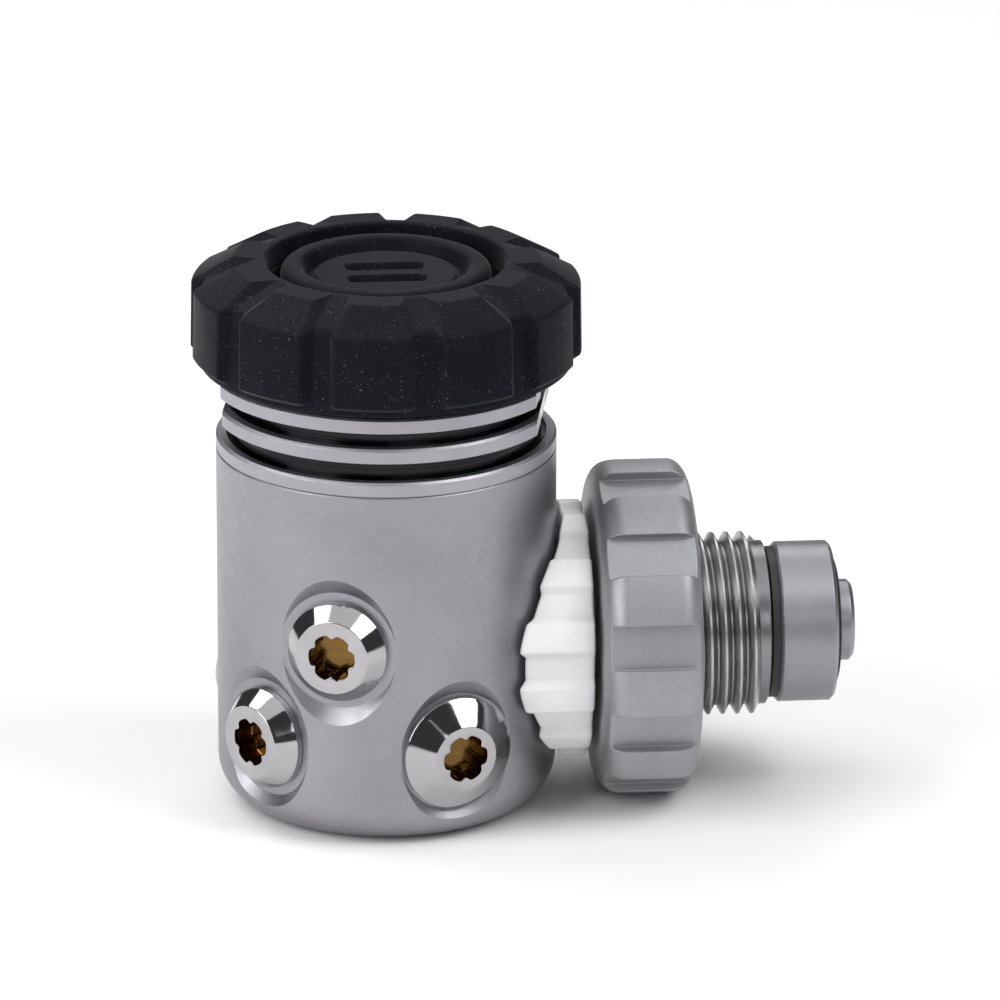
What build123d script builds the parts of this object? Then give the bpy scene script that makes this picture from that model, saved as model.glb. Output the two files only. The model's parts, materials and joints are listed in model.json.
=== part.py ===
from build123d import *
from math import cos, radians, sin
import os

# Balanced-diaphragm first stage of a diving regulator, with a DIN inlet and its handwheel.
# Frame: Z is the body's axis, pointing up; the origin is the centre of the flat base;
# +X is the direction of the inlet's axis; -Y is the front. Millimetres.
# Azimuths are degrees round Z, from the front towards +X.

os.makedirs("parts", exist_ok=True)

# ---- driving dimensions -------------------------------------------------------------------

# body
body_radius = 20.95
body_height = 45.7
base_fillet = 5.5
hp_bore_radius = 6.2          # high-pressure chamber round the poppet
hp_bore_floor = 3.2
seat_landing = 24.6           # step that the valve seat rests on
ip_bore_radius = 8.0          # intermediate-pressure chamber over the seat
diaphragm_shelf = 38.0
housing_bore_radius = 18.0

# ports: (azimuth, height) of each axis, and the head of the plug that closes it
lp_ports = [(-21.5, 25.3), (201.5, 25.3)]
lp_low_ports = [(-52, 12.0), (232, 12.0)]
hp_ports = [(20.9, 11.8), (159.1, 11.8)]
port_face_reach = 19.65       # spot face, from the body's axis
port_bottom_reach = 11.6
lp_port_radius = 4.4
hp_port_radius = 5.15
spot_radius = 7.4
countersink_slope = 0.65      # rise of the countersink per unit of radius
plug_rim_height = 0.85
plug_head_height = 3.05
socket_radius = 2.35
socket_lobe_radius = 0.72
socket_depth = 2.9

# spring housing: fins and grooves over the body, spanner flats across the two upper fins
flange_top = 47.45
lower_fin = (50.0, 51.8)
upper_fin = (54.05, 55.9)
neck_radius = 19.05
lower_fin_radius = 21.1
upper_fin_radius = 21.75
flat_reach = 19.3
flat_azimuth = 80
housing_top = 66.0
housing_top_radius = 18.9
spring_bore_radius = 12.4
adjuster_radius = 12.9
adjuster_bottom = 55.5
adjuster_top = 59.5
membrane_shelf = 61.0
membrane_bore_radius = 17.0
edge_break = 0.3
boot_groove = (59.0, 60.4)    # snap groove for the boot's inner lip
boot_groove_depth = 0.6
fitting_gap = 0.05            # between pieces that are pushed or screwed together

# rubber boot
boot_bottom = 56.45
boot_top = 69.35
boot_hole_radius = 14.73
boot_rim_radius = 22.9
boot_slope_start = 15.4
block_count = 11
block_azimuth = -8.5
block_arc = 21
block_radius = 24.0

# valve train
running_gap = 0.08            # radial, between a piece and the bore that it moves in
lift = 0.85                   # travel of the poppet, pin, pad and transmitter
pad_radius = 12.9
pad_top = 68.8
main_spring_radius = 8.5
main_spring_wire = 1.0
main_spring_bottom = 41.4
poppet_spring_radius = 3.4
poppet_spring_wire = 0.35
poppet_spring_bottom = 11.2
poppet_shoulder = 19.0
poppet_spring_top = 18.4
seat_crown = 24.0
touch_gap = 0.04              # between faces that only press on each other
poppet_top = seat_crown - lift - 0.05
diaphragm_top = diaphragm_shelf + 1.4
main_spring_top = adjuster_bottom
membrane_web_top = membrane_shelf + 1.2
membrane_web = 0.8            # thickness

# DIN inlet, along X at this height
inlet_height = 20.75
stem_radius = 7.0
stem_start = 10.2
stem_shoulder = 17.5
stem_thread_radius = 6.5
tip_start = 48.2
tip_end = 55.3
tip_radius = 9.96
nozzle_radius = 5.05
nozzle_end = 57.9
collar_radius = 15.93
collar_valley = 0.9
collar_end = 24.5
collar_lobes = 12
collar_lobe_angle = 14.8
collar_start = 12.0
collar_rim_saddle = 21.65     # radius of the saddle under the flutes
collar_boss_radius = 10.5     # the boss inside the saddle, which reaches the body
collar_saddle = body_radius + 0.15
wheel_start = 25.4
wheel_end = 37.65
wheel_radius = 20.8
wheel_valley_reach = 19.5
wheel_lobes = 11
wheel_valley_angle = 45.4
wheel_valley_width = 5.6
hub_radius = 13.7
thread_radius = 11.35         # G 5/8, 14 threads per inch
thread_pitch = 1.814
thread_depth = 1.16
thread_end = 46.9

# ---- planes -------------------------------------------------------------------------------

half_section = Plane.XZ                                   # (radius, height) round the body's axis
inlet_section = Plane(origin=(0, 0, inlet_height), x_dir=(1, 0, 0), z_dir=(0, -1, 0))
inlet_axis = Axis((0, 0, inlet_height), (1, 0, 0))


def across_inlet(x):
    """Plane across the inlet's axis at x; its own x axis points up and its y axis to the front."""
    return Plane(origin=(x, 0, inlet_height), x_dir=(0, 0, 1), z_dir=(1, 0, 0))


def port_plane(azimuth, height, reach):
    """Plane across a port's axis, at a reach from the body's axis, facing outward."""
    turn = radians(azimuth)
    outward = (sin(turn), -cos(turn), 0)
    centre = (reach * outward[0], reach * outward[1], height)
    return Plane(origin=centre, x_dir=(cos(turn), sin(turn), 0), z_dir=outward)


def port_planes(ports, reach):
    return [port_plane(azimuth, height, reach) for azimuth, height in ports]


all_lp_ports = lp_ports + lp_low_ports
turned_by = -90               # from an azimuth to an angle from +X

# ---- body ---------------------------------------------------------------------------------

port_depth = port_face_reach - port_bottom_reach
countersink_height = 4.0
riser_radius = 1.1
riser_reach = 12.2

with BuildPart() as body:
    Cylinder(body_radius, body_height, align=(Align.CENTER, Align.CENTER, Align.MIN))
    fillet(body.edges().filter_by(GeomType.CIRCLE).sort_by(Axis.Z)[0], base_fillet)
    chamfer(body.edges().filter_by(GeomType.CIRCLE).sort_by(Axis.Z)[-1], edge_break)
    # chambers, cut from the top
    with BuildSketch(half_section):
        with BuildLine():
            Polyline(
                (0, hp_bore_floor), (hp_bore_radius, hp_bore_floor), (hp_bore_radius, seat_landing),
                (ip_bore_radius, seat_landing), (ip_bore_radius, diaphragm_shelf - 1.7),
                (13.6, diaphragm_shelf - 1.7), (13.6, diaphragm_shelf),
                (housing_bore_radius, diaphragm_shelf), (housing_bore_radius, body_height + 1),
                (0, body_height + 1), close=True)
        make_face()
    revolve(axis=Axis.Z, mode=Mode.SUBTRACT)
    # spot faces, countersinks and threaded bores of the ports
    for ports, bore in ((all_lp_ports, lp_port_radius), (hp_ports, hp_port_radius)):
        with Locations(*port_planes(ports, port_face_reach)):
            Cone(spot_radius, spot_radius + countersink_height / countersink_slope,
                 countersink_height, align=(Align.CENTER, Align.CENTER, Align.MIN),
                 mode=Mode.SUBTRACT)
        with Locations(*port_planes(ports, port_bottom_reach)):
            Cylinder(bore, port_depth + 1, align=(Align.CENTER, Align.CENTER, Align.MIN),
                     mode=Mode.SUBTRACT)
    # gas ways: upper LP ports to the chamber over the seat, lower ones by a riser, HP ports direct
    upper_ways = [(azimuth, height + 2.7) for azimuth, height in lp_ports]
    with Locations(*port_planes(upper_ways, ip_bore_radius - 0.5)):
        Cylinder(riser_radius, port_bottom_reach - ip_bore_radius + 1,
                 align=(Align.CENTER, Align.CENTER, Align.MIN), mode=Mode.SUBTRACT)
    with Locations(*[Plane(origin=port_plane(azimuth, height, riser_reach).origin)
                     for azimuth, height in lp_low_ports]):
        Cylinder(riser_radius, diaphragm_shelf - 1.2 - lp_low_ports[0][1],
                 align=(Align.CENTER, Align.CENTER, Align.MIN), mode=Mode.SUBTRACT)
    with Locations(*port_planes(hp_ports, hp_bore_radius - 0.5)):
        Cylinder(0.8, port_bottom_reach - hp_bore_radius + 1,
                 align=(Align.CENTER, Align.CENTER, Align.MIN), mode=Mode.SUBTRACT)
    # inlet bore
    with BuildSketch(inlet_section):
        with BuildLine():
            Polyline(
                (hp_bore_radius - 1, 0), (hp_bore_radius - 1, 2.8), (10.0, 2.8),
                (10.0, stem_thread_radius + 0.05), (stem_shoulder, stem_thread_radius + 0.05),
                (stem_shoulder, stem_radius + 0.1), (body_radius + 1, stem_radius + 0.1),
                (body_radius + 1, 0), close=True)
        make_face()
    revolve(axis=inlet_axis, mode=Mode.SUBTRACT)
body.part.label = "body"
export_step(body.part, "parts/body.step")

# ---- spring housing -----------------------------------------------------------------------

housing_skirt_bottom = 41.2
skirt_radius = housing_bore_radius - 0.1
adjuster_bore = adjuster_radius + fitting_gap
with BuildPart() as spring_housing:
    with BuildSketch(half_section):
        with BuildLine():
            Polyline(
                (spring_bore_radius, housing_skirt_bottom),
                (skirt_radius, housing_skirt_bottom),
                (skirt_radius, body_height), (body_radius, body_height),
                (body_radius, flange_top - edge_break), (body_radius - edge_break, flange_top),
                (neck_radius, flange_top), (neck_radius, lower_fin[0]),
                (lower_fin_radius, lower_fin[0]), (lower_fin_radius, lower_fin[1] - edge_break),
                (lower_fin_radius - edge_break, lower_fin[1]), (neck_radius, lower_fin[1]),
                (neck_radius, upper_fin[0]), (upper_fin_radius, upper_fin[0]),
                (upper_fin_radius, upper_fin[1] - edge_break),
                (upper_fin_radius - edge_break, upper_fin[1]), (housing_top_radius, upper_fin[1]),
                (housing_top_radius, boot_groove[0]),
                (housing_top_radius - boot_groove_depth, boot_groove[0]),
                (housing_top_radius - boot_groove_depth, boot_groove[1]),
                (housing_top_radius, boot_groove[1]),
                (housing_top_radius, housing_top), (membrane_bore_radius, housing_top),
                (membrane_bore_radius, membrane_shelf), (adjuster_bore, membrane_shelf),
                (adjuster_bore, adjuster_bottom - 1), (spring_bore_radius, adjuster_bottom - 1),
                close=True)
        make_face()
    revolve(axis=Axis.Z)
    # spanner flats across both fins
    fin_height = upper_fin[1] - lower_fin[0]
    with PolarLocations(flat_reach, 2, start_angle=flat_azimuth + turned_by):
        with Locations((0, 0, lower_fin[0])):
            Box(10, 40, fin_height, align=(Align.MIN, Align.CENTER, Align.MIN), mode=Mode.SUBTRACT)
spring_housing.part.label = "spring_housing"
export_step(spring_housing.part, "parts/spring_housing.step")

with BuildPart() as spring_adjuster:
    with Locations((0, 0, adjuster_bottom)):
        Cylinder(adjuster_radius, adjuster_top - adjuster_bottom,
                 align=(Align.CENTER, Align.CENTER, Align.MIN))
    with BuildSketch(Plane.XY.offset(adjuster_top)):
        RegularPolygon(5.2, 6)
    extrude(amount=-(adjuster_top - adjuster_bottom), mode=Mode.SUBTRACT)
    chamfer(spring_adjuster.edges().filter_by(GeomType.CIRCLE), 0.4)
spring_adjuster.part.label = "spring_adjuster"
export_step(spring_adjuster.part, "parts/spring_adjuster.step")

# ---- membrane, its ring and the boot --------------------------------------------------------

membrane_edge_top = membrane_web_top + 0.4
membrane_edge_radius = membrane_bore_radius - 0.05
with BuildPart() as ambient_membrane:
    with BuildSketch(half_section):
        with BuildLine():
            Polyline(
                (0, membrane_web_top - membrane_web), (14.0, membrane_web_top - membrane_web),
                (14.0, membrane_shelf), (membrane_edge_radius, membrane_shelf),
                (membrane_edge_radius, membrane_edge_top), (14.4, membrane_edge_top),
                (14.4, membrane_web_top), (0, membrane_web_top), close=True)
        make_face()
    revolve(axis=Axis.Z)
ambient_membrane.part.label = "ambient_membrane"
export_step(ambient_membrane.part, "parts/ambient_membrane.step")

ring_inner_radius = 14.75
ring_slot = 2.4
with BuildPart() as membrane_ring:
    with BuildSketch(Plane.XY.offset(membrane_edge_top)):
        Circle(membrane_edge_radius)
        Circle(ring_inner_radius, mode=Mode.SUBTRACT)
    extrude(amount=housing_top - membrane_edge_top)
    # four slots for the ring's spanner
    with PolarLocations((membrane_edge_radius + ring_inner_radius) / 2, 4):
        with Locations((0, 0, housing_top)):
            Box(3, ring_slot, ring_slot, mode=Mode.SUBTRACT)
membrane_ring.part.label = "membrane_ring"
export_step(membrane_ring.part, "parts/membrane_ring.step")

pad_bead_inner = 10.1
pad_floor_drop = 1.2
pad_slot_pitch = 5.0
pad_slot_depth = 1.3
pad_edge = 1.2
pad_bottom = membrane_web_top + touch_gap
with BuildPart() as membrane_pad:
    with BuildSketch(half_section):
        with BuildLine():
            Polyline((0, pad_bottom), (pad_radius - 0.7, pad_bottom), (pad_radius, 64.0),
                     (pad_radius, pad_top - pad_edge))
            RadiusArc((pad_radius, pad_top - pad_edge), (pad_radius - pad_edge, pad_top), -pad_edge)
            Polyline((pad_radius - pad_edge, pad_top), (pad_bead_inner + 0.8, pad_top),
                     (pad_bead_inner, pad_top - pad_floor_drop), (0, pad_top - pad_floor_drop),
                     (0, pad_bottom))
        make_face()
    revolve(axis=Axis.Z)
    with BuildSketch(Plane.XY.offset(pad_top - pad_floor_drop)):
        with GridLocations(0, pad_slot_pitch, 1, 2):
            SlotOverall(11.0, 2.6)
    extrude(amount=-pad_slot_depth, mode=Mode.SUBTRACT)
membrane_pad.part.label = "membrane_pad"
export_step(membrane_pad.part, "parts/membrane_pad.step")

# One tread block of the boot, from the bevel's inner end to just above the boot's lower edge
block_bottom = 57.7
block_crease = 66.5
bevel_inner_radius = 18.7
with BuildPart() as tread_block:
    with BuildSketch(half_section):
        with BuildLine():
            Polyline((20.0, block_bottom), (block_radius, block_bottom),
                     (block_radius - 0.1, block_crease), (bevel_inner_radius, boot_top),
                     (bevel_inner_radius - 0.5, boot_top), (bevel_inner_radius - 0.5, block_crease),
                     (20.0, block_crease), close=True)
        make_face()
    revolve(axis=Axis.Z, revolution_arc=block_arc)

boot_bore = housing_top_radius + fitting_gap
with BuildPart() as protective_boot:
    with BuildSketch(half_section):
        with BuildLine():
            Polyline(
                (boot_bore, boot_bottom), (boot_rim_radius - 0.4, boot_bottom),
                (boot_rim_radius, boot_bottom + 0.4), (22.3, 66.9), (boot_slope_start, boot_top),
                (boot_hole_radius + 0.3, boot_top), (boot_hole_radius, boot_top - 0.3),
                (boot_hole_radius, housing_top + fitting_gap), (boot_bore, housing_top + fitting_gap),
                (boot_bore, boot_groove[1] - fitting_gap),
                (boot_bore - boot_groove_depth, boot_groove[1] - fitting_gap),
                (boot_bore - boot_groove_depth, boot_groove[0] + fitting_gap),
                (boot_bore, boot_groove[0] + fitting_gap), close=True)
        make_face()
    revolve(axis=Axis.Z)
    with PolarLocations(0, block_count, start_angle=block_azimuth + turned_by - block_arc / 2):
        add(tread_block.part)
protective_boot.part.label = "protective_boot"
export_step(protective_boot.part, "parts/protective_boot.step")

# ---- valve train --------------------------------------------------------------------------

transmitter_bottom = 43.2
transmitter_disc_bottom = 60.4
transmitter_top = membrane_web_top - membrane_web - touch_gap
with BuildPart() as load_transmitter:
    with BuildSketch(half_section):
        with BuildLine():
            Polyline((0, transmitter_bottom), (3.5, transmitter_bottom), (3.5, 59.3),
                     (5.0, transmitter_disc_bottom), (11.4, transmitter_disc_bottom),
                     (11.4, transmitter_top), (0, transmitter_top), close=True)
        make_face()
    revolve(axis=Axis.Z)
load_transmitter.part.label = "load_transmitter"
export_step(load_transmitter.part, "parts/load_transmitter.step")

spring_pad_bottom = diaphragm_top + touch_gap
with BuildPart() as spring_pad:
    with BuildSketch(half_section):
        with BuildLine():
            Polyline((0, spring_pad_bottom), (11.0, spring_pad_bottom), (11.0, main_spring_bottom),
                     (6.8, main_spring_bottom), (6.4, transmitter_bottom), (0, transmitter_bottom),
                     close=True)
        make_face()
    revolve(axis=Axis.Z)
spring_pad.part.label = "spring_pad"
export_step(spring_pad.part, "parts/spring_pad.step")

with BuildPart() as diaphragm:
    with Locations((0, 0, diaphragm_shelf)):
        Cylinder(housing_bore_radius - 0.3, diaphragm_top - diaphragm_shelf,
                 align=(Align.CENTER, Align.CENTER, Align.MIN))
diaphragm.part.label = "diaphragm"
export_step(diaphragm.part, "parts/diaphragm.step")

with BuildPart() as diaphragm_washer:
    with BuildSketch(Plane.XY.offset(diaphragm_top)):
        Circle(housing_bore_radius - 0.2)
        Circle(13.2, mode=Mode.SUBTRACT)
    extrude(amount=housing_skirt_bottom - diaphragm_top)
diaphragm_washer.part.label = "diaphragm_washer"
export_step(diaphragm_washer.part, "parts/diaphragm_washer.step")

pin_bottom = poppet_top + touch_gap
pin_top = diaphragm_shelf - touch_gap
with BuildPart() as lifter_pin:
    with BuildSketch(half_section):
        with BuildLine():
            Polyline((0, pin_bottom), (1.3, pin_bottom), (1.3, 35.9), (2.2, 36.9), (6.0, 36.9),
                     (6.0, pin_top), (0, pin_top), close=True)
        make_face()
    revolve(axis=Axis.Z)
lifter_pin.part.label = "lifter_pin"
export_step(lifter_pin.part, "parts/lifter_pin.step")

seat_height = 2.4
seat_radius = ip_bore_radius - fitting_gap
seat_groove = (0.6, 1.8)      # above the landing, for the seat's O-ring
with BuildPart() as valve_seat:
    with BuildSketch(half_section):
        with BuildLine():
            Polyline(
                (2.0, seat_crown), (2.5, seat_crown), (3.4, seat_landing),
                (seat_radius, seat_landing), (seat_radius, seat_landing + seat_groove[0]),
                (7.0, seat_landing + seat_groove[0]), (7.0, seat_landing + seat_groove[1]),
                (seat_radius, seat_landing + seat_groove[1]),
                (seat_radius, seat_landing + seat_height), (3.6, seat_landing + seat_height),
                (2.0, seat_landing + 1.2), close=True)
        make_face()
    revolve(axis=Axis.Z)
valve_seat.part.label = "valve_seat"
export_step(valve_seat.part, "parts/valve_seat.step")

poppet_stem_radius = 2.4
balance_hole_radius = 0.6
seat_disc_radius = 3.2
seat_disc_height = 1.1
seat_disc_bottom = poppet_top - seat_disc_height
with BuildPart() as poppet:
    with BuildSketch(half_section):
        with BuildLine():
            Polyline(
                (balance_hole_radius, 6.5), (poppet_stem_radius, 6.5),
                (poppet_stem_radius, poppet_spring_top), (4.2, poppet_shoulder),
                (4.2, poppet_top - 0.4), (3.8, poppet_top), (seat_disc_radius, poppet_top),
                (seat_disc_radius, seat_disc_bottom), (balance_hole_radius, seat_disc_bottom),
                close=True)
        make_face()
    revolve(axis=Axis.Z)
poppet.part.label = "poppet"
export_step(poppet.part, "parts/poppet.step")

with BuildPart() as poppet_seat_disc:
    with BuildSketch(Plane.XY.offset(seat_disc_bottom)):
        Circle(seat_disc_radius)
        Circle(balance_hole_radius, mode=Mode.SUBTRACT)
    extrude(amount=seat_disc_height)
poppet_seat_disc.part.label = "poppet_seat_disc"
export_step(poppet_seat_disc.part, "parts/poppet_seat_disc.step")

balance_bore = poppet_stem_radius + running_gap
bushing_radius = hp_bore_radius - fitting_gap
with BuildPart() as balance_bushing:
    with BuildSketch(half_section):
        with BuildLine():
            Polyline(
                (balance_bore, 4.4), (balance_bore, 6.9), (3.6, 6.9), (3.6, 8.4),
                (balance_bore, 8.4), (balance_bore, poppet_spring_bottom),
                (bushing_radius, poppet_spring_bottom), (bushing_radius, hp_bore_floor),
                (3.6, hp_bore_floor), (3.6, 4.4), close=True)
        make_face()
    revolve(axis=Axis.Z)
balance_bushing.part.label = "balance_bushing"
export_step(balance_bushing.part, "parts/balance_bushing.step")


def coil(name, mean_radius, wire_radius, bottom, top, turns):
    """Compression spring between two flat faces."""
    height = top - bottom - 2 * wire_radius
    with BuildPart() as spring:
        with BuildLine() as path:
            Helix(pitch=height / turns, height=height, radius=mean_radius,
                  center=(0, 0, bottom + wire_radius))
        with BuildSketch(Plane(origin=path.line @ 0, z_dir=path.line % 0)):
            Circle(wire_radius)
        sweep(is_frenet=True)
    spring.part.label = name
    export_step(spring.part, f"parts/{name}.step")


coil("main_spring", main_spring_radius, main_spring_wire, main_spring_bottom, main_spring_top, 4.5)
coil("poppet_spring", poppet_spring_radius, poppet_spring_wire, poppet_spring_bottom,
     poppet_spring_top, 5.5)

# ---- port plugs ---------------------------------------------------------------------------


def plug_solids(planes, head_radius, face_radius, shank_radius):
    """Conical-headed port plugs with six-lobed sockets, one on each plane."""
    shank_length = port_depth - 0.4
    with BuildPart() as plugs:
        with Locations(*planes):
            Cylinder(head_radius, plug_rim_height, align=(Align.CENTER, Align.CENTER, Align.MIN))
            Cylinder(shank_radius, shank_length, align=(Align.CENTER, Align.CENTER, Align.MAX))
        for plane in planes:
            with Locations(plane.offset(plug_rim_height)):
                Cone(head_radius, face_radius, plug_head_height - plug_rim_height,
                     align=(Align.CENTER, Align.CENTER, Align.MIN))
            # groove under the head for the plug's O-ring
            with BuildSketch(plane.offset(-1.5)):
                Circle(shank_radius)
                Circle(shank_radius - 0.8, mode=Mode.SUBTRACT)
            extrude(amount=1.5, mode=Mode.SUBTRACT)
            with BuildSketch(plane.offset(plug_head_height)):
                Circle(socket_radius)
                with PolarLocations(socket_radius, 6):
                    Circle(socket_lobe_radius)
            extrude(amount=-socket_depth, mode=Mode.SUBTRACT)
    return plugs


low_pressure_plugs = plug_solids(port_planes(all_lp_ports, port_face_reach), 6.3, 4.6, 4.35)
low_pressure_plugs.part.label = "low_pressure_plugs"
export_step(low_pressure_plugs.part, "parts/low_pressure_plugs.step")

high_pressure_plugs = plug_solids(port_planes(hp_ports, port_face_reach), 7.1, 4.05, 5.1)
high_pressure_plugs.part.label = "high_pressure_plugs"
export_step(high_pressure_plugs.part, "parts/high_pressure_plugs.step")

# ---- inlet stem and what it carries ---------------------------------------------------------

filter_bore_radius = 4.6
filter_bore_start = 38.0
with BuildPart() as inlet_stem:
    with BuildSketch(inlet_section):
        with BuildLine():
            Polyline(
                (stem_start, 2.8), (stem_start, stem_thread_radius - 0.4),
                (stem_start + 0.4, stem_thread_radius), (stem_shoulder, stem_thread_radius),
                (stem_shoulder, stem_radius), (18.4, stem_radius), (18.4, 6.0), (19.6, 6.0),
                (19.6, stem_radius), (tip_start, stem_radius), (tip_start, tip_radius - 0.35),
                (tip_start + 0.35, tip_radius), (tip_end - 0.45, tip_radius),
                (tip_end, tip_radius - 0.45), (tip_end, 8.5), (tip_end - 1.9, 8.5),
                (tip_end - 1.9, 5.9), (tip_end, 5.9), (tip_end, filter_bore_radius),
                (filter_bore_start, filter_bore_radius), (filter_bore_start - 1.8, 2.8), close=True)
        make_face()
    revolve(axis=inlet_axis)
inlet_stem.part.label = "inlet_stem"
export_step(inlet_stem.part, "parts/inlet_stem.step")

with BuildPart() as inlet_filter:
    with BuildSketch(inlet_section):
        with BuildLine():
            Polyline((41.0, 0), (41.0, 2.4), (49.0, 4.5), (51.0, 4.5), (51.0, 3.3), (49.0, 3.3),
                     (42.2, 1.4), (42.2, 0), close=True)
        make_face()
    revolve(axis=inlet_axis)
inlet_filter.part.label = "inlet_filter"
export_step(inlet_filter.part, "parts/inlet_filter.step")

with BuildPart() as inlet_nozzle:
    with BuildSketch(inlet_section):
        with BuildLine():
            Polyline(
                (51.05, 3.3), (51.05, filter_bore_radius - 0.05),
                (tip_end, filter_bore_radius - 0.05), (tip_end, nozzle_radius),
                (nozzle_end - 0.5, nozzle_radius), (nozzle_end, nozzle_radius - 0.5),
                (nozzle_end, 2.3), (nozzle_end - 1.2, 1.6), (53.0, 1.6), close=True)
        make_face()
    revolve(axis=inlet_axis)
inlet_nozzle.part.label = "inlet_nozzle"
export_step(inlet_nozzle.part, "parts/inlet_nozzle.step")

with BuildPart() as fluted_collar:
    with BuildSketch(across_inlet(collar_start)) as flutes:
        Circle(collar_radius - collar_valley)
        with PolarLocations(collar_radius - 1.2, collar_lobes, start_angle=collar_lobe_angle):
            Rectangle(2.4, 4.5)
        fillet(flutes.vertices(), 0.4)
    extrude(amount=collar_end - collar_start)
    fillet(fluted_collar.faces().sort_by(Axis.X)[-1].edges(), 0.4)
    # saddle that sits round the body
    Cylinder(collar_rim_saddle, body_height, align=(Align.CENTER, Align.CENTER, Align.MIN),
             mode=Mode.SUBTRACT)
    with BuildSketch(across_inlet(collar_start)):
        Circle(collar_boss_radius)
    extrude(amount=collar_end - collar_start - 1)
    Cylinder(collar_saddle, body_height, align=(Align.CENTER, Align.CENTER, Align.MIN),
             mode=Mode.SUBTRACT)
    with BuildSketch(across_inlet(collar_start)):
        Circle(stem_radius + 0.2)
    extrude(amount=collar_end, mode=Mode.SUBTRACT)
fluted_collar.part.label = "fluted_collar"
export_step(fluted_collar.part, "parts/fluted_collar.step")

wheel_width = wheel_end - wheel_start
rim_flat = 17.3               # radius of the wheel's flat sides
with BuildPart() as handwheel:
    with BuildSketch(across_inlet(wheel_start)):
        Circle(wheel_radius)
        with PolarLocations(wheel_valley_reach, wheel_lobes, start_angle=wheel_valley_angle):
            Rectangle(4, wheel_valley_width, align=(Align.MIN, Align.CENTER), mode=Mode.SUBTRACT)
    extrude(amount=wheel_width)
    # both rims rounded over
    with BuildSketch(inlet_section):
        with BuildLine():
            Polyline((wheel_end, rim_flat), (wheel_end, 0), (wheel_start, 0), (wheel_start, rim_flat))
            EllipticalCenterArc((wheel_start + 3.0, rim_flat), 3.0, wheel_radius - rim_flat,
                                start_angle=90, arc_size=90)
            Line((wheel_start + 3.0, wheel_radius), (wheel_end - 2.7, wheel_radius))
            EllipticalCenterArc((wheel_end - 2.7, rim_flat), 2.7, wheel_radius - rim_flat,
                                start_angle=0, arc_size=90)
        make_face()
    revolve(axis=inlet_axis, mode=Mode.INTERSECT)
    with BuildSketch(across_inlet(wheel_start)):
        Circle(stem_radius + running_gap)
    extrude(amount=wheel_width, mode=Mode.SUBTRACT)
    with BuildSketch(across_inlet(wheel_start + 2.4)):
        RegularPolygon(hub_radius + 0.05, 6)
    extrude(amount=wheel_width, mode=Mode.SUBTRACT)
handwheel.part.label = "handwheel"
export_step(handwheel.part, "parts/handwheel.step")

thread_root = thread_radius - thread_depth
thread_start = 37.1
hub_start = wheel_start + 2.5
hub_end = wheel_end - 1.6
with BuildPart() as threaded_sleeve:
    # core of the thread
    with BuildSketch(across_inlet(hub_end)):
        Circle(thread_root)
    extrude(amount=thread_end - hub_end)
    # thread: one ridge along a helix, its flanks at 55 degrees to each other
    with BuildLine() as thread_path:
        Helix(pitch=thread_pitch, height=thread_end - thread_start - thread_pitch / 2,
              radius=thread_root, center=(thread_start, 0, inlet_height), direction=(1, 0, 0))
    ridge_plane = Plane(origin=thread_path.line @ 0, x_dir=(0, 0, 1), z_dir=(0, -1, 0))
    with BuildSketch(ridge_plane):
        with BuildLine():
            Polyline((-0.3, -0.86), (0, -0.78), (thread_depth, -0.14), (thread_depth, 0.14),
                     (0, 0.78), (-0.3, 0.86), close=True)
        make_face()
    sweep(is_frenet=True)
    # hexagonal hub that drives in the wheel
    with BuildSketch(across_inlet(hub_start)):
        RegularPolygon(hub_radius, 6)
    extrude(amount=hub_end - hub_start)
    # lead-in chamfer at the free end, and the bore that turns on the stem
    with BuildSketch(inlet_section):
        with BuildLine():
            Polyline((thread_end - 1.3, thread_radius + 0.2), (thread_end - 1.3, thread_radius + 2),
                     (thread_end + 3, thread_radius + 2), (thread_end + 3, thread_root - 1.35),
                     (thread_end, thread_root - 0.15), close=True)
        make_face()
    revolve(axis=inlet_axis, mode=Mode.SUBTRACT)
    with BuildSketch(across_inlet(hub_start)):
        Circle(stem_radius + running_gap)
    extrude(amount=thread_end - hub_start, mode=Mode.SUBTRACT)
threaded_sleeve.part.label = "threaded_sleeve"
export_step(threaded_sleeve.part, "parts/threaded_sleeve.step")

with BuildPart() as stem_washer:
    with BuildSketch(across_inlet(thread_end + 0.3)):
        Circle(9.4)
        Circle(stem_radius + 0.02, mode=Mode.SUBTRACT)
    extrude(amount=tip_start - thread_end - 0.3)
stem_washer.part.label = "stem_washer"
export_step(stem_washer.part, "parts/stem_washer.step")

# ---- O-rings ------------------------------------------------------------------------------

port_ring_reach = port_face_reach - 0.75
o_rings = {
    "valve_seat_o_ring": ([Plane.XY.offset(seat_landing + 1.2)], 7.48, 0.47),
    "balance_o_ring": ([Plane.XY.offset(7.65)], 3.0, 0.55),
    "low_pressure_o_rings": (port_planes(all_lp_ports, port_ring_reach), 3.97, 0.4),
    "high_pressure_o_rings": (port_planes(hp_ports, port_ring_reach), 4.72, 0.4),
    "stem_o_ring": ([across_inlet(19.0)], 6.55, 0.52),
    "face_o_ring": ([across_inlet(tip_end - 0.64)], 7.2, 1.25),
}
for name, (planes, ring_radius, section_radius) in o_rings.items():
    with BuildPart() as o_ring:
        with Locations(*planes):
            Torus(ring_radius, section_radius)
    o_ring.part.label = name
    export_step(o_ring.part, f"parts/{name}.step")
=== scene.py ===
"""Looks of a diving regulator first stage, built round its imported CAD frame.

Lengths are in metres, except where a comment or docstring says millimetres.
"""

import json
import math

import bmesh
import bpy
from mathutils import Matrix, Vector


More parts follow.
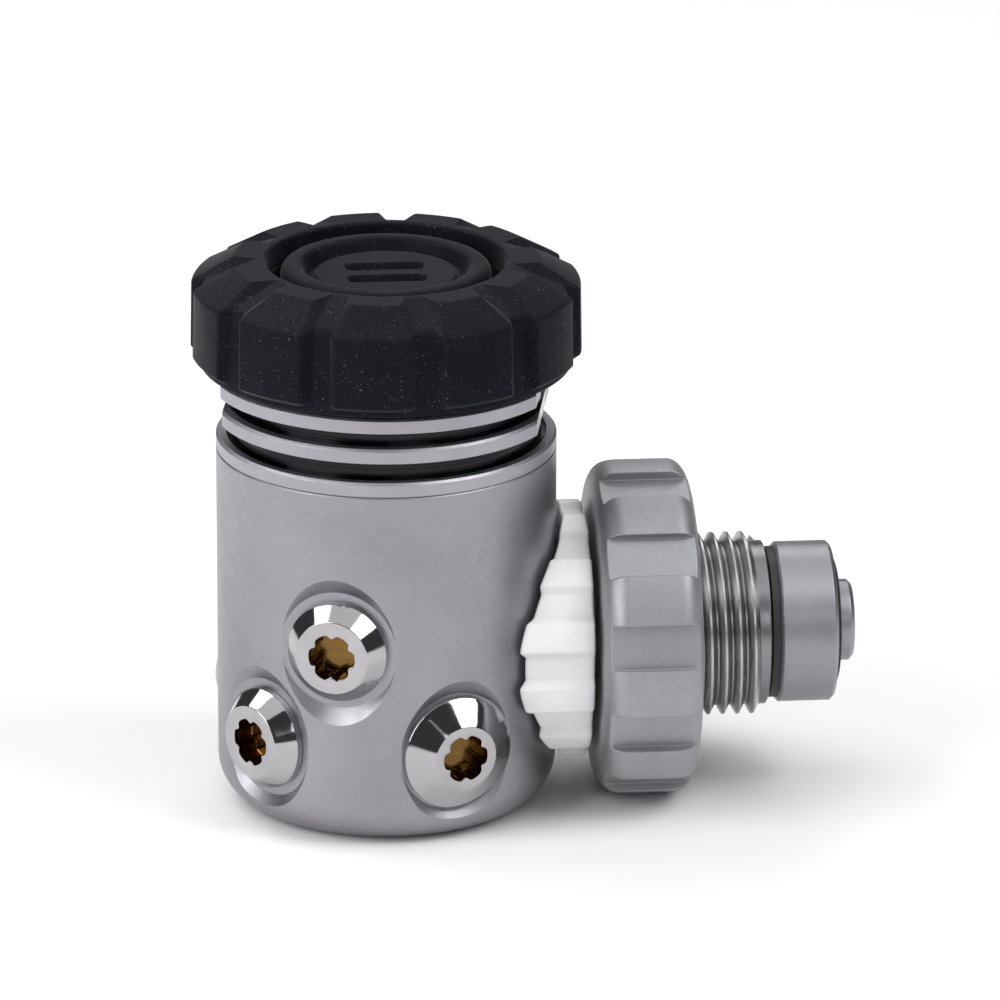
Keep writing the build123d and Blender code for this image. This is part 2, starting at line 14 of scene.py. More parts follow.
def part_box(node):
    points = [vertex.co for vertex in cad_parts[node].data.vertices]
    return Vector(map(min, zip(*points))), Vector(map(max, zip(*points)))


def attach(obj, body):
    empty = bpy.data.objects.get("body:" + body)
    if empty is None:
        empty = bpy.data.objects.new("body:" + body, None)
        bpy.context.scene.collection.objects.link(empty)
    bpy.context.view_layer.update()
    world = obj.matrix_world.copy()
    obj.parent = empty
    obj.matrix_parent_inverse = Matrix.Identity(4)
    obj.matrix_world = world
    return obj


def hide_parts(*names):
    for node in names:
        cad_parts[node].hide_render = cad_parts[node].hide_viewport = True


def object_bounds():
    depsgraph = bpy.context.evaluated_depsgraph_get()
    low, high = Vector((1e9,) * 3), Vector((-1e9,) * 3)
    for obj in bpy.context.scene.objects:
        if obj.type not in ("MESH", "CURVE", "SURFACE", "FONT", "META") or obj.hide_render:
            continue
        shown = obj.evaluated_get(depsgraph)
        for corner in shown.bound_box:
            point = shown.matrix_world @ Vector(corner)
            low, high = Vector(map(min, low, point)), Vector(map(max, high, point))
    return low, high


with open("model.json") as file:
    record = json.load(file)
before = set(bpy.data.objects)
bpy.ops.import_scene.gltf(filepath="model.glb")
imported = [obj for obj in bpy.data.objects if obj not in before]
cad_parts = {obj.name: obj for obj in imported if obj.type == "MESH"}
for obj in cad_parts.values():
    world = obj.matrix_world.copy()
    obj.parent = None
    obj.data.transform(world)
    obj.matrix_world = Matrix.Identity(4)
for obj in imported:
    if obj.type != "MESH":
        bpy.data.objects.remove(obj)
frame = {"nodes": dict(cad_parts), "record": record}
cad_low, cad_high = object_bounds()
nodes = frame["nodes"]
record = frame["record"]
MM = 0.001

scene = bpy.context.scene
scene.view_settings.view_transform = "Standard"

# ---- places read from the frame -----------------------------------------------------------


def mount_place(name):
    return next(m["pos_m"] for m in record["mounts"] if m["name"] == name)


inlet_height = mount_place("din_tip")[2]
boot_low, boot_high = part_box("protective_boot")
pad_low, pad_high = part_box("membrane_pad")
housing_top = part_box("spring_housing")[1].z
collar_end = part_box("fluted_collar")[1].x
collar_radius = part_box("fluted_collar")[1].y

# ---- materials ----------------------------------------------------------------------------

FINE_GRAIN = 5200.0                 # cells of noise per metre in the satin plate
GROOVE_RADIUS = 19.7 * MM           # inside this radius the housing has a smoother polish and is painted near-black as groove shade
GROOVE_TOP = 56.5 * MM              # and below this height
THREAD_DARK_TO = 10.2 * MM          # from the inlet's axis; the roots inside are painted darker as shade, the worn crests outside are not
THREAD_BRIGHT_FROM = 10.8 * MM
BEVEL_SAMPLES = 6


class Shader:
    """A Principled material with helpers for the nodes that feed it."""

    def __init__(self, name, metallic=0.0, roughness=0.5, **sockets):
        self.material = bpy.data.materials.new(name)
        self.material.use_nodes = True
        self.tree = self.material.node_tree
        self.surface = self.tree.nodes["Principled BSDF"]
        self.surface.inputs["Metallic"].default_value = metallic
        self.surface.inputs["Roughness"].default_value = roughness
        for socket, value in sockets.items():
            self.surface.inputs[socket.replace("_", " ")].default_value = value
        self.place = self.tree.nodes.new("ShaderNodeTexCoord").outputs["Object"]

    def node(self, kind, **values):
        made = self.tree.nodes.new(kind)
        for key, value in values.items():
            setattr(made, key, value)
        return made

    def link(self, source, target):
        self.tree.links.new(source, target)

    def noise(self, scale, detail=3.0, roughness=0.5, stretch=None):
        """Noise with this many cells per metre; stretch multiplies the scale along X, Y and Z."""
        texture = self.node("ShaderNodeTexNoise")
        texture.inputs["Scale"].default_value = scale
        texture.inputs["Detail"].default_value = detail
        texture.inputs["Roughness"].default_value = roughness
        source = self.place
        if stretch:
            mapping = self.node("ShaderNodeMapping")
            mapping.inputs["Scale"].default_value = stretch
            self.link(source, mapping.inputs["Vector"])
            source = mapping.outputs["Vector"]
        self.link(source, texture.inputs["Vector"])
        return texture.outputs["Fac"]

    def ramp(self, source, low, high, low_value, high_value):
        """source from low to high gives low_value to high_value, which are numbers or colours."""
        colour = isinstance(low_value, tuple)
        if colour:
            made = self.node("ShaderNodeValToRGB")
            made.color_ramp.elements[0].position = low
            made.color_ramp.elements[1].position = high
            made.color_ramp.elements[0].color = (*low_value, 1)
            made.color_ramp.elements[1].color = (*high_value, 1)
            self.link(source, made.inputs["Fac"])
            return made.outputs["Color"]
        made = self.node("ShaderNodeMapRange")
        made.inputs["From Min"].default_value = low
        made.inputs["From Max"].default_value = high
        made.inputs["To Min"].default_value = low_value
        made.inputs["To Max"].default_value = high_value
        self.link(source, made.inputs["Value"])
        return made.outputs["Result"]

    def mix(self, factor, first, second):
        """Colour first where factor is 0, second where it is 1; each is a socket or a colour."""
        made = self.node("ShaderNodeMix", data_type="RGBA")
        self.link(factor, made.inputs["Factor"])
        for socket, value in ((made.inputs[6], first), (made.inputs[7], second)):
            if isinstance(value, tuple):
                socket.default_value = (*value, 1)
            else:
                self.link(value, socket)
        return made.outputs[2]

    def maths(self, operation, first, second=0.0):
        made = self.node("ShaderNodeMath", operation=operation)
        for socket, value in ((made.inputs[0], first), (made.inputs[1], second)):
            if isinstance(value, (int, float)):
                socket.default_value = value
            else:
                self.link(value, socket)
        return made.outputs[0]

    def axis_distance(self, height=None):
        """Distance from the body's axis, or from the inlet's axis if its height is given, and
        the node whose outputs are X, Y and Z."""
        split = self.node("ShaderNodeSeparateXYZ")
        self.link(self.place, split.inputs[0])
        if height is None:
            first, second = split.outputs["X"], split.outputs["Y"]
        else:
            first = split.outputs["Y"]
            second = self.maths("SUBTRACT", split.outputs["Z"], height)
        first_square = self.maths("MULTIPLY", first, first)
        second_square = self.maths("MULTIPLY", second, second)
        return self.maths("SQRT", self.maths("ADD", first_square, second_square)), split

    def bump(self, height, depth, edge=0.0):
        """Relief of that depth; edge is the radius that rounds the shading of the mesh's edges."""
        made = self.node("ShaderNodeBump")
        made.inputs["Strength"].default_value = 1.0
        made.inputs["Distance"].default_value = depth
        self.link(height, made.inputs["Height"])
        if edge:
            rounded = self.node("ShaderNodeBevel", samples=BEVEL_SAMPLES)
            rounded.inputs["Radius"].default_value = edge
            self.link(rounded.outputs["Normal"], made.inputs["Normal"])
        self.link(made.outputs["Normal"], self.surface.inputs["Normal"])

    def feed(self, source, socket):
        self.link(source, self.surface.inputs[socket])


def satin_metal(name, dark, light, rough, edge, grain=FINE_GRAIN, depth=0.012 * MM):
    """Bead-blasted plate: fine even grain, faint cloudiness and slightly uneven gloss."""
    made = Shader(name, metallic=1.0)
    cloud = made.noise(70.0, detail=4.0)
    fine = made.noise(grain, detail=2.0, roughness=0.6)
    clouded = made.ramp(cloud, 0.35, 0.65, dark, light)
    made.feed(made.mix(made.ramp(fine, 0.35, 0.65, 0.0, 0.5), clouded, light), "Base Color")
    made.feed(made.ramp(made.noise(900.0), 0.3, 0.7, *rough), "Roughness")
    made.bump(fine, depth, edge=edge)
    return made


def bright_metal(name, colour):
    """Polished plate with faint smears and hairline polishing marks."""
    made = Shader(name, metallic=1.0)
    smear = made.noise(260.0, detail=5.0, roughness=0.65)
    hairlines = made.noise(1500.0, detail=3.0, stretch=(1.0, 1.0, 9.0))
    darker = tuple(0.86 * c for c in colour)
    made.feed(made.ramp(smear, 0.3, 0.75, colour, darker), "Base Color")
    made.feed(made.ramp(smear, 0.35, 0.75, 0.05, 0.14), "Roughness")
    made.bump(hairlines, 0.002 * MM)
    return made


def housing_metal():
    """Satin fins, and grooves between them with a smoother polish, painted near-black as groove
    shade.
    """
    made = Shader("satin_chrome_with_painted_groove_shade", metallic=1.0)
    distance, split = made.axis_distance()
    inside = made.maths("LESS_THAN", distance, GROOVE_RADIUS)
    below = made.maths("LESS_THAN", split.outputs["Z"], GROOVE_TOP)
    groove = made.maths("MULTIPLY", inside, below)
    fine = made.noise(FINE_GRAIN, detail=2.0, roughness=0.6)
    cloud = made.noise(70.0, detail=4.0)
    satin = made.ramp(cloud, 0.35, 0.65, (0.36, 0.345, 0.38), (0.43, 0.41, 0.45))
    rings = made.noise(160.0, detail=3.0, stretch=(0.2, 0.2, 40.0))
    # Painted shade: the groove's chrome gets a near-black colour in place of the shade that falls
    # between the fins.
    groove_painted_shade = made.ramp(rings, 0.3, 0.7, (0.014, 0.013, 0.015), (0.030, 0.028, 0.031))
    made.feed(made.mix(groove, satin, groove_painted_shade), "Base Color")
    smoother = made.maths("MULTIPLY", groove, -0.32)
    satin_roughness = made.ramp(made.noise(900.0), 0.3, 0.7, 0.40, 0.48)
    made.feed(made.maths("ADD", satin_roughness, smoother), "Roughness")
    made.bump(fine, 0.01 * MM, edge=0.12 * MM)
    return made


def thread_metal():
    """Plate that is worn bright along the thread's crests, with painted shade darkening it down in
    its roots.
    """
    made = Shader("bright_thread", metallic=1.0)
    distance, _ = made.axis_distance(inlet_height)
    streaks = made.noise(300.0, detail=4.0, stretch=(8.0, 1.0, 1.0))
    crest_wear_and_root_shade = made.ramp(distance, THREAD_DARK_TO, THREAD_BRIGHT_FROM, 0.0, 1.0)
    worn = made.ramp(streaks, 0.3, 0.7, (0.40, 0.405, 0.42), (0.54, 0.54, 0.55))
    # Painted shade: the roots get a darker plate colour, the crests keep the plate with its worn
    # streaks.
    made.feed(made.mix(crest_wear_and_root_shade, (0.25, 0.25, 0.26), worn), "Base Color")
    made.feed(made.ramp(streaks, 0.3, 0.7, 0.25, 0.36), "Roughness")
    made.bump(streaks, 0.006 * MM, edge=0.08 * MM)
    return made


def rubber(name, dark, light, speck):
    """Moulded rubber: fine pitting, dusty patches and scattered pale specks of dust."""
    made = Shader(name, Specular_IOR_Level=0.07, Sheen_Weight=0.15, Sheen_Roughness=0.30)
    patch = made.noise(120.0, detail=6.0, roughness=0.65)
    base = made.ramp(patch, 0.35, 0.7, dark, light)
    grit = made.noise(4200.0, detail=2.0, roughness=0.5)
    specks = made.ramp(grit, 0.66, 0.74, 0.0, 1.0)
    dusty = made.ramp(patch, 0.4, 0.6, 0.1, 1.0)
    made.feed(made.mix(made.maths("MULTIPLY", specks, dusty), base, speck), "Base Color")
    made.feed(made.ramp(patch, 0.3, 0.7, 0.50, 0.68), "Roughness")
    made.bump(made.noise(3800.0, detail=2.0), 0.02 * MM)
    return made


def plastic(name, dark, light, scatter=0.0):
    """Moulded plastic with faint flow marks."""
    made = Shader(name, Specular_IOR_Level=0.45)
    if scatter:
        made.surface.inputs["Subsurface Weight"].default_value = scatter
        made.surface.inputs["Subsurface Radius"].default_value = (2 * MM, 2 * MM, 2 * MM)
        made.surface.inputs["Subsurface Scale"].default_value = 0.5
    flow = made.noise(180.0, detail=4.0)
    made.feed(made.ramp(flow, 0.3, 0.7, dark, light), "Base Color")
    made.feed(made.ramp(flow, 0.3, 0.7, 0.42, 0.54), "Roughness")
    made.bump(made.noise(2400.0, detail=2.0), 0.006 * MM)
    return made


def turned_metal(name, colour, gloss=(0.22, 0.34)):
    """Turned metal of the hidden parts and the sockets, with fine tool rings."""
    made = Shader(name, metallic=1.0)
    rings = made.noise(240.0, detail=3.0, stretch=(0.3, 0.3, 20.0))
    made.feed(made.ramp(rings, 0.3, 0.7, tuple(0.7 * c for c in colour), colour), "Base Color")
    made.feed(made.ramp(rings, 0.3, 0.7, *gloss), "Roughness")
    made.bump(rings, 0.008 * MM)
    return made


looks = {
    "satin_chrome": satin_metal(
        "satin_chrome", (0.30, 0.29, 0.315), (0.36, 0.35, 0.375), (0.38, 0.47), edge=0.18 * MM),
    # The wheel is the same satin chrome as the body; its plate colour is set lighter than the
    # body's, as painted light that brightens the wheel.
    "satin_wheel": satin_metal(
        "satin_wheel", (0.34, 0.35, 0.362), (0.39, 0.40, 0.415), (0.50, 0.60), edge=0.3 * MM,
        grain=3800.0, depth=0.02 * MM),
    "bright_chrome": bright_metal("bright_chrome", (0.46, 0.45, 0.465)),
    "boot_rubber": rubber(
        "boot_rubber", (0.004, 0.005, 0.008), (0.008, 0.009, 0.013), (0.15, 0.145, 0.14)),
    "silicone": rubber(
        "silicone", (0.04, 0.04, 0.045), (0.06, 0.06, 0.065), (0.09, 0.09, 0.09)),
    "white_plastic": plastic(
        "white_plastic", (0.80, 0.80, 0.81), (0.88, 0.88, 0.88), scatter=0.3),
    "black_plastic": plastic("black_plastic", (0.012, 0.012, 0.012), (0.022, 0.022, 0.022)),
    "plain_brass": turned_metal("plain_brass", (0.60, 0.44, 0.20)),
    "stainless": turned_metal("stainless", (0.52, 0.52, 0.53)),
    "spring_steel": turned_metal("spring_steel", (0.38, 0.38, 0.40)),
    "o_ring_rubber": rubber(
        "o_ring_rubber", (0.012, 0.012, 0.012), (0.02, 0.02, 0.02), (0.05, 0.05, 0.05)),
}
# CAD nodes whose look isn't their slot's, and the sockets' look in the port plugs below.
special_looks = {
    "spring_housing": housing_metal(),
    "threaded_sleeve": thread_metal(),
    # The sockets' brass hue is real; its darkening to about a third of plain brass is painted shade
    # inside the deep recesses.
    "plug_sockets": turned_metal("plug_sockets", (0.20, 0.115, 0.035), gloss=(0.10, 0.22)),
    "membrane_ring": plastic("black_ring", (0.008, 0.008, 0.008), (0.015, 0.015, 0.015)),
}

for part in record["subparts"]:
    cad_node = nodes[part["node"]]
    look = special_looks.get(part["node"], looks[part["material_slot"]])
    cad_node.data.materials.clear()
    cad_node.data.materials.append(look.material)

# ---- mesh tools ---------------------------------------------------------------------------


def ease(t, rounding=0.3):
    """Ramp from 0 to 1 with rounded ends, which take up that share of it each."""
    t = min(max(t, 0.0), 1.0)
    slope = 1 / (1 - rounding)
    if t < rounding:
        return slope * t * t / (2 * rounding)
    if t > 1 - rounding:
        return 1 - slope * (1 - t) ** 2 / (2 * rounding)
    return slope * (t - rounding / 2)


def block_mask(angle, first, pitch, top, flank):
    """1 on top of evenly spaced blocks, 0 between them. All in degrees."""
    offset = abs((angle - first + pitch / 2) % pitch - pitch / 2)
    return ease(1 - (offset - top / 2) / flank)


ARC_STEPS = 6


def rounded_line(corners, steps):
    """Points along a line of (a, b, radius) corners, each rounded to its radius with an arc.
    steps gives how many points each straight run has, so two lines can match point by point."""
    points = []
    for i, (a, b, radius) in enumerate(corners):
        here = Vector((a, b))
        if radius:
            before = (Vector(corners[i - 1][:2]) - here).normalized()
            after = (Vector(corners[i + 1][:2]) - here).normalized()
            half = before.angle(after) / 2
            back = radius / math.tan(half)
            centre = here + (before + after).normalized() * (radius / math.sin(half))
            start, end = here + before * back - centre, here + after * back - centre
            turn = start.angle_signed(end)
            arc = []
            for k in range(ARC_STEPS + 1):
                at = -turn * k / ARC_STEPS
                arc.append(centre + Matrix.Rotation(at, 2) @ start)
        else:
            arc = [here]
        if points:
            last, count = points[-1], steps[i - 1]
            points += [last.lerp(arc[0], k / count) for k in range(1, count)]
        points += arc
    return points


def skin(loops, closed, start):
    """Vertices and faces of a skin over loops of points, each joined to the next, the last to the
    first if closed. A first or last loop that is a single point closes the skin as a fan."""
    firsts, vertices, faces = [], [], []
    for loop in loops:
        firsts.append(start + len(vertices))
        vertices += loop
    pairs = [(i, i + 1) for i in range(len(loops) - 1)]
    if closed:
        pairs.append((len(loops) - 1, 0))
    for i, j in pairs:
        count = max(len(loops[i]), len(loops[j]))
        for k in range(count):
            m = (k + 1) % count
            if len(loops[i]) == 1:
                faces.append((firsts[i], firsts[j] + m, firsts[j] + k))
            elif len(loops[j]) == 1:
                faces.append((firsts[i] + k, firsts[i] + m, firsts[j]))
            else:
                faces.append((firsts[i] + k, firsts[i] + m, firsts[j] + m, firsts[j] + k))
    return vertices, faces


def make_piece(name, skins, body, slot, node):
    """A piece made of skins, each (loops, closed), on a CAD body in place of a CAD node."""
    vertices, faces = [], []
    for loops, closed in skins:
        more, between = skin(loops, closed, len(vertices))
        vertices += more
        faces += between
    mesh = bpy.data.meshes.new(name)
    mesh.from_pydata(vertices, [], faces)
    mesh.materials.append(looks[slot].material)
    tidy = bmesh.new()
    tidy.from_mesh(mesh)
    bmesh.ops.recalc_face_normals(tidy, faces=tidy.faces)
    tidy.to_mesh(mesh)
    tidy.free()
    mesh.shade_smooth()
    piece = bpy.data.objects.new(name, mesh)
    scene.collection.objects.link(piece)
    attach(piece, body)
    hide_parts(node)
    return piece


def polar(radius, angle, height):
    """Point in metres round the body's axis, from millimetres and degrees; the angle runs from
    the front, towards +X."""
    turn = math.radians(angle)
    return (radius * math.sin(turn) * MM, -radius * math.cos(turn) * MM, height * MM)


def full_turn(count):
    return [360 * k / count for k in range(count)]


# ---- protective boot ----------------------------------------------------------------------

# Lengths in this section and in the next three are in millimetres, and angles in degrees.

boot_top = boot_high.z / MM
boot_bottom = boot_low.z / MM
boot_seat = housing_top / MM + 0.05
MOUTH_RADIUS, BORE_RADIUS = 14.73, 18.95
BLOCK_PITCH = 360 / 11
BLOCK_MIDDLE = -8.5           # azimuth of the front block's middle
BLOCK_FLANK = 3.8
BLOCK_TOP, BLOCK_WIDENING = 17.5, 3.5     # a block's top, and how much wider it gets outwards
WIDENS_FROM, WIDENS_OVER = 18.0, 5.0      # radius where that starts, and its run
BOOT_POINTS = 1320

# Two outlines of (radius, height, rounding) corners, from the mouth over the top and down the wall
# to the bore: one through the valleys between the blocks, one over the blocks.
mouth = (MOUTH_RADIUS, boot_seat, 0)
bore = [(22.9, boot_bottom, 0.3), (BORE_RADIUS, boot_bottom, 0), (BORE_RADIUS, boot_seat, 0)]
steps = [6, 5, 10, 14, 2, 2, 4, 4]
valley_line = rounded_line(
    [mouth, (MOUTH_RADIUS, boot_top, 0.4), (15.7, boot_top, 0.7), (22.3, 66.9, 1.1),
     (22.85, 57.8, 0.2), (22.9, 57.3, 0.1), *bore], steps)
block_line = rounded_line(
    [mouth, (MOUTH_RADIUS, boot_top, 0.5), (18.7, boot_top, 0.9), (23.85, 66.5, 0.7),
     (23.99, 57.9, 0.45), (22.95, 57.2, 0.2), *bore], steps)

angles = full_turn(BOOT_POINTS)
boot_loops = []
for valley, block in zip(valley_line, block_line):
    top = BLOCK_TOP + BLOCK_WIDENING * ease((block.x - WIDENS_FROM) / WIDENS_OVER)
    masks = [block_mask(a, BLOCK_MIDDLE, BLOCK_PITCH, top, BLOCK_FLANK) for a in angles]
    points = [valley.lerp(block, m) for m in masks]
    boot_loops.append([polar(p.x, a, p.y) for p, a in zip(points, angles)])
make_piece("boot_tread", [(boot_loops, True)], "first_stage", "boot_rubber", "protective_boot")

# ---- membrane pad -------------------------------------------------------------------------

pad_top = pad_high.z / MM
pad_bottom = pad_low.z / MM
pad_radius = pad_high.x / MM
pad_floor = pad_top - 1.2
groove_floor = pad_top - 2.0
FLOOR_RADIUS = 7.9
FLOOR_RINGS = 66
SLOT_DEPTH = 1.2
SLOT_OFFSET = 2.4             # of each slot's middle line from the pad's middle
SLOT_HALF_LENGTH, SLOT_HALF_WIDTH = 3.9, 0.45
SLOT_REACH, SLOT_FLANK = 1.05, 0.5        # how far past those a slot ends, and its wall's run
PAD_POINTS = 480

pad_line = rounded_line(
    [(pad_radius - 0.7, pad_bottom, 0), (pad_radius, 64.0, 0.3), (pad_radius, pad_top, 1.2),
     (10.4, pad_top, 0.9), (9.7, groove_floor, 0.3), (9.1, groove_floor, 0.25),
     (8.6, pad_floor, 0.3), (FLOOR_RADIUS, pad_floor, 0)],
    [3, 5, 4, 4, 2, 3, 2])


def slot_depth(x, y):
    """How far the pad's floor drops at a point, for its two grip slots."""
    depth = 0.0
    for middle in (SLOT_OFFSET, -SLOT_OFFSET):
        past_end = max(abs(x) - SLOT_HALF_LENGTH, 0.0)
        past_side = max(abs(y - middle) - SLOT_HALF_WIDTH, 0.0)
        gap = math.hypot(past_end, past_side)
        depth = max(depth, ease((SLOT_REACH - gap) / SLOT_FLANK))
    return SLOT_DEPTH * depth


angles = full_turn(PAD_POINTS)
pad_loops = [[(0, 0, pad_bottom * MM)]]
pad_loops += [[polar(p.x, a, p.y) for a in angles] for p in pad_line]
for ring in range(1, FLOOR_RINGS):
    radius = FLOOR_RADIUS * (1 - ring / FLOOR_RINGS)
    loop = []
    for a in angles:
        x, y, z = polar(radius, a, pad_floor)
        loop.append((x, y, z - slot_depth(x / MM, y / MM) * MM))
    pad_loops.append(loop)
pad_loops.append([(0, 0, pad_floor * MM)])
make_piece("pad_with_slots", [(pad_loops, False)], "load_train", "boot_rubber", "membrane_pad")

# ---- port plugs ---------------------------------------------------------------------------

PORT_REACH = 19.65            # from the body's axis to the plugs' seats
LOW_PORTS = ((-21.5, 25.3), (201.5, 25.3), (-52, 12.0), (232, 12.0))      # azimuth and height
HIGH_PORTS = ((20.9, 11.8), (159.1, 11.8))
PLUG_RIM, PLUG_HEAD = 0.85, 3.05          # heights over the seat of the cone's foot and its face
SOCKET_DEPTH = 2.9
PLUG_POINTS = 180
SOCKET_LOOPS = 5              # the last loops of a plug, which lie inside its socket

plug_turns = [2 * math.pi * k / PLUG_POINTS for k in range(PLUG_POINTS)]


def socket_radius(turn):
    """Six-lobed socket's outline, with wide round lobes and narrow ribs between them."""
    rib = (0.5 - 0.5 * math.cos(6 * turn)) ** 4
    return 2.9 - 0.5 * rib


def plug_lines(head_radius, face_radius):
    """Loops of (radius, height) round a plug's axis, from its seat over its face to its socket."""
    face_end = face_radius - 0.5
    outline = rounded_line(
        [(0.5, 0, 0), (head_radius, 0, 0.1), (head_radius, PLUG_RIM, 0.18),
         (face_radius, PLUG_HEAD, 0.16), (face_end, PLUG_HEAD, 0)], [4, 3, 6, 2])
    lines = [[(p.x, p.y)] * PLUG_POINTS for p in outline]
    socket_floor = PLUG_HEAD - SOCKET_DEPTH
    # Each ring is this far outside the socket, at a height, and this share of the way to its shape.
    rings = [(0.30, PLUG_HEAD, 0.5), (0.16, PLUG_HEAD, 1), (0.05, PLUG_HEAD - 0.04, 1),
             (0, PLUG_HEAD - 0.15, 1), (-0.02, socket_floor + 0.1, 1), (-0.12, socket_floor, 1)]
    for out, height, share in rings:
        line = []
        for turn in plug_turns:
            radius = share * (socket_radius(turn) + out) + (1 - share) * face_end
            line.append((radius, height))
        lines.append(line)
    lines.append([(1.7, socket_floor - 0.02)] * PLUG_POINTS)
    lines.append([(0.4, socket_floor - 0.12)] * PLUG_POINTS)
    return lines


def plug_loops(azimuth, height, head_radius, face_radius):
    """Loops of points of one plug in its port, from the middle of its seat to its socket's."""
    a = math.radians(azimuth)
    outward = Vector((math.sin(a), -math.cos(a), 0))
    across = Vector((math.cos(a), math.sin(a), 0))
    upward = Vector((0, 0, 1))
    seat = outward * PORT_REACH + upward * height
    loops = [[tuple(seat * MM)]]
    for line in plug_lines(head_radius, face_radius):
        loop = []
        for (radius, out), turn in zip(line, plug_turns):
            sideways = across * (radius * math.cos(turn)) + upward * (radius * math.sin(turn))
            loop.append(tuple((seat + outward * out + sideways) * MM))
        loops.append(loop)
    loops.append([tuple((seat + outward * (PLUG_HEAD - SOCKET_DEPTH - 0.15)) * MM)])
    return loops


for name, ports, head_radius, face_radius, node in (
        ("low_port_plugs", LOW_PORTS, 6.3, 4.6, "low_pressure_plugs"),
        ("high_port_plugs", HIGH_PORTS, 7.1, 4.05, "high_pressure_plugs")):
    plug_skins = []
    for azimuth, height in ports:
        plug_skins.append((plug_loops(azimuth, height, head_radius, face_radius), False))
    plugs = make_piece(name, plug_skins, "first_stage", "bright_chrome", node)
    # The sockets get the darkened brass, whose darkness is painted shade.
    plugs.data.materials.append(special_looks["plug_sockets"].material)
    plugs.data.set_sharp_from_angle(angle=math.radians(35))
    per_plug = len(plugs.data.polygons) // len(ports)
    first_inside = per_plug - SOCKET_LOOPS * PLUG_POINTS
    for face in plugs.data.polygons:
        face.material_index = int(face.index % per_plug >= first_inside)

# ---- fluted collar ------------------------------------------------------------------------

COLLAR_BORE = 7.3
SADDLE_RADIUS = 21.65         # of the cylinder round the body's axis that the collar ends on
FLUTE_DEPTH = 0.92
COLLAR_LOBES = 12
LOBE_MIDDLE, LOBE_TOP, LOBE_FLANK = 14.8, 11.5, 4.2
COLLAR_POINTS = 720

angles = full_turn(COLLAR_POINTS)
lobes = [block_mask(a, LOBE_MIDDLE, 360 / COLLAR_LOBES, LOBE_TOP, LOBE_FLANK) for a in angles]


def collar_ring(drop, x=None):
    """Loop round the inlet's axis, this far inside the flutes; without an x it is on the saddle."""
    loop = []
    for angle, lobe in zip(angles, lobes):
        turn = math.radians(angle)
        radius = max(collar_radius / MM - FLUTE_DEPTH * (1 - lobe) - drop, COLLAR_BORE)
        y, z = -radius * math.sin(turn), radius * math.cos(turn)
        along = math.sqrt(SADDLE_RADIUS**2 - y**2) if x is None else x
        loop.append((along * MM, y * MM, z * MM + inlet_height))
    return loop


def collar_side(share, drop=0.0):
    """Loop between the saddle and the wheel's end, that share of the way along."""
    near, far = collar_ring(drop), collar_ring(drop, end)
    return [tuple(Vector(a).lerp(Vector(b), share)) for a, b in zip(near, far)]


end = collar_end / MM
collar_loops = [collar_ring(9.0), collar_ring(5.0), collar_ring(0.45)]
collar_loops += [collar_side(0.01, 0.18), collar_side(0.05, 0.03)]
collar_loops += [collar_side(share) for share in (0.10, 0.25, 0.4, 0.55, 0.7, 0.85)]
collar_loops += [collar_ring(0.02, end - 0.4), collar_ring(0.12, end - 0.2)]
collar_loops += [collar_ring(0.3, end - 0.06), collar_ring(0.55, end)]
collar_loops += [collar_ring(5.0, end), collar_ring(9.0, end)]
make_piece("collar_flutes", [(collar_loops, True)], "first_stage", "white_plastic", "fluted_collar")

# ---- stage, light and camera --------------------------------------------------------------

FLOOR_REACH = 4.0

floor_mesh = bpy.data.meshes.new("floor")
floor_corners = [(-FLOOR_REACH, -FLOOR_REACH, 0), (FLOOR_REACH, -FLOOR_REACH, 0),
                 (FLOOR_REACH, FLOOR_REACH, 0), (-FLOOR_REACH, FLOOR_REACH, 0)]
floor_mesh.from_pydata(floor_corners, [], [(0, 1, 2, 3)])
floor = bpy.data.objects.new("floor", floor_mesh)
scene.collection.objects.link(floor)
paper = Shader("pale_paper", roughness=0.9)
pale = paper.ramp(paper.noise(40.0), 0.3, 0.7, (0.885, 0.885, 0.885), (0.895, 0.895, 0.895))
paper.feed(pale, "Base Color")
floor_mesh.materials.append(paper.material)

centre = (cad_low + cad_high) / 2


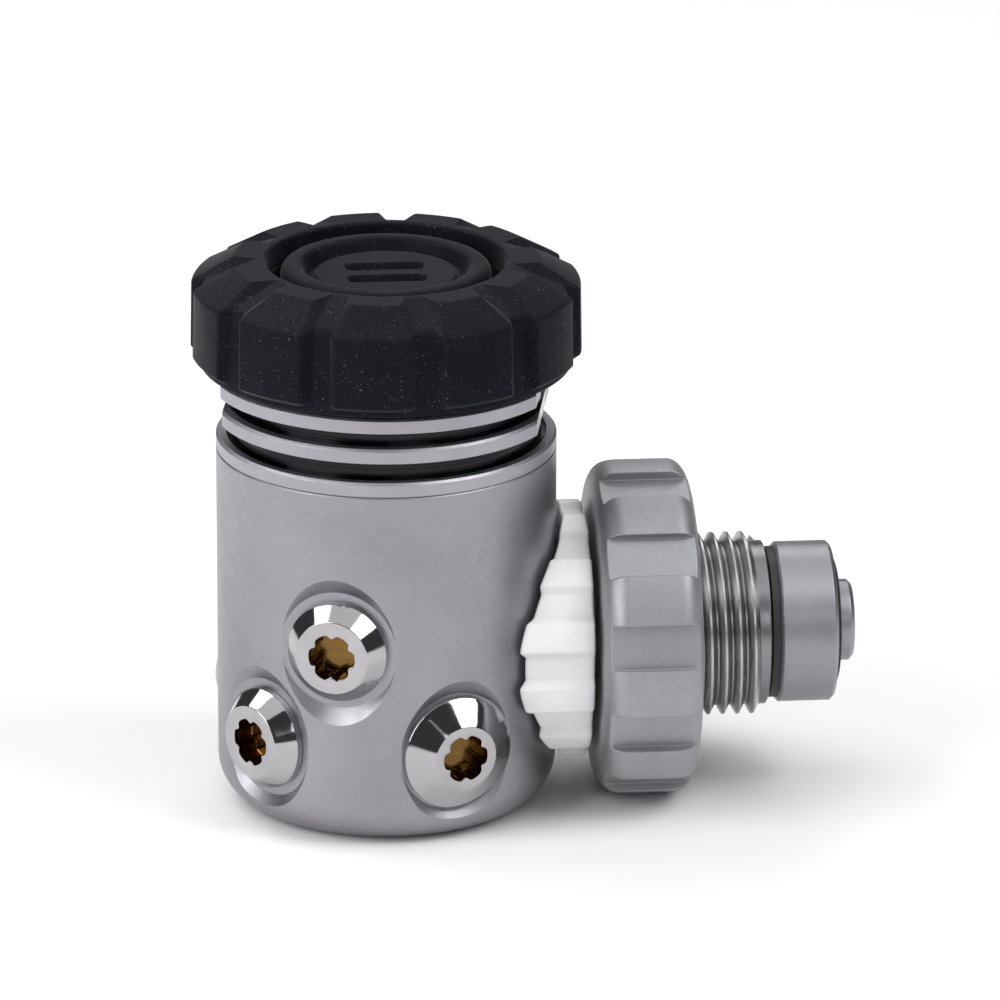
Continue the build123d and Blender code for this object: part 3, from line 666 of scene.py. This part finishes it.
def direction(azimuth, elevation):
    """Unit vector at angles in radians; the azimuth runs from the front, towards +X."""
    out = math.cos(elevation)
    return Vector((math.sin(azimuth) * out, -math.cos(azimuth) * out, math.sin(elevation)))


def softbox(name, azimuth, elevation, distance, width, height, watts):
    """Rectangular soft light at angles in degrees, which faces the middle of the object."""
    away = direction(math.radians(azimuth), math.radians(elevation))
    lamp = bpy.data.lights.new(name, "AREA")
    lamp.shape = "RECTANGLE"
    lamp.size, lamp.size_y, lamp.energy = width, height, watts
    holder = bpy.data.objects.new(name, lamp)
    holder.location = centre + away * distance
    holder.rotation_mode = "QUATERNION"
    holder.rotation_quaternion = away.to_track_quat("Z", "Y")
    holder.visible_camera = False
    scene.collection.objects.link(holder)


softbox("left_box", -62, 30, 0.9, 0.6, 0.7, 5.5)
softbox("left_rear_box", -122, 52, 0.9, 0.45, 0.45, 2.2)
softbox("right_box", 62, 46, 0.9, 0.5, 0.5, 4.0)
softbox("top_box", 0, 86, 0.9, 1.4, 1.1, 4.4)
softbox("front_box", 12, 24, 1.3, 0.6, 0.4, 1.3)
softbox("back_box", 180, 42, 1.1, 0.9, 0.5, 2.8)

world = bpy.data.worlds.new("studio")
world.use_nodes = True
background = world.node_tree.nodes["Background"]
background.inputs["Color"].default_value = (0.92, 0.93, 0.97, 1)
background.inputs["Strength"].default_value = 0.07
scene.world = world

# The camera that was fitted to the photograph.
AZIMUTH, ELEVATION, ROLL = (math.radians(v) for v in (-5.08281, 19.29644, 0.15559))
TARGET = Vector((0.01406158, 0, 0.03768091))
DISTANCE = 1.1
back = direction(AZIMUTH, ELEVATION)
level = (-back).cross(Vector((0, 0, 1))).normalized()
upright = level.cross(-back)
right = level * math.cos(ROLL) + upright * math.sin(ROLL)
up = upright * math.cos(ROLL) - level * math.sin(ROLL)
camera = bpy.data.objects.new("camera", bpy.data.cameras.new("camera"))
camera.data.sensor_width = 36
camera.data.lens = 320.81
camera.data.clip_start, camera.data.clip_end = 0.05, 20
turned = Matrix((right, up, back)).transposed().to_4x4()
camera.matrix_world = Matrix.Translation(TARGET + back * DISTANCE) @ turned
scene.collection.objects.link(camera)
scene.camera = camera
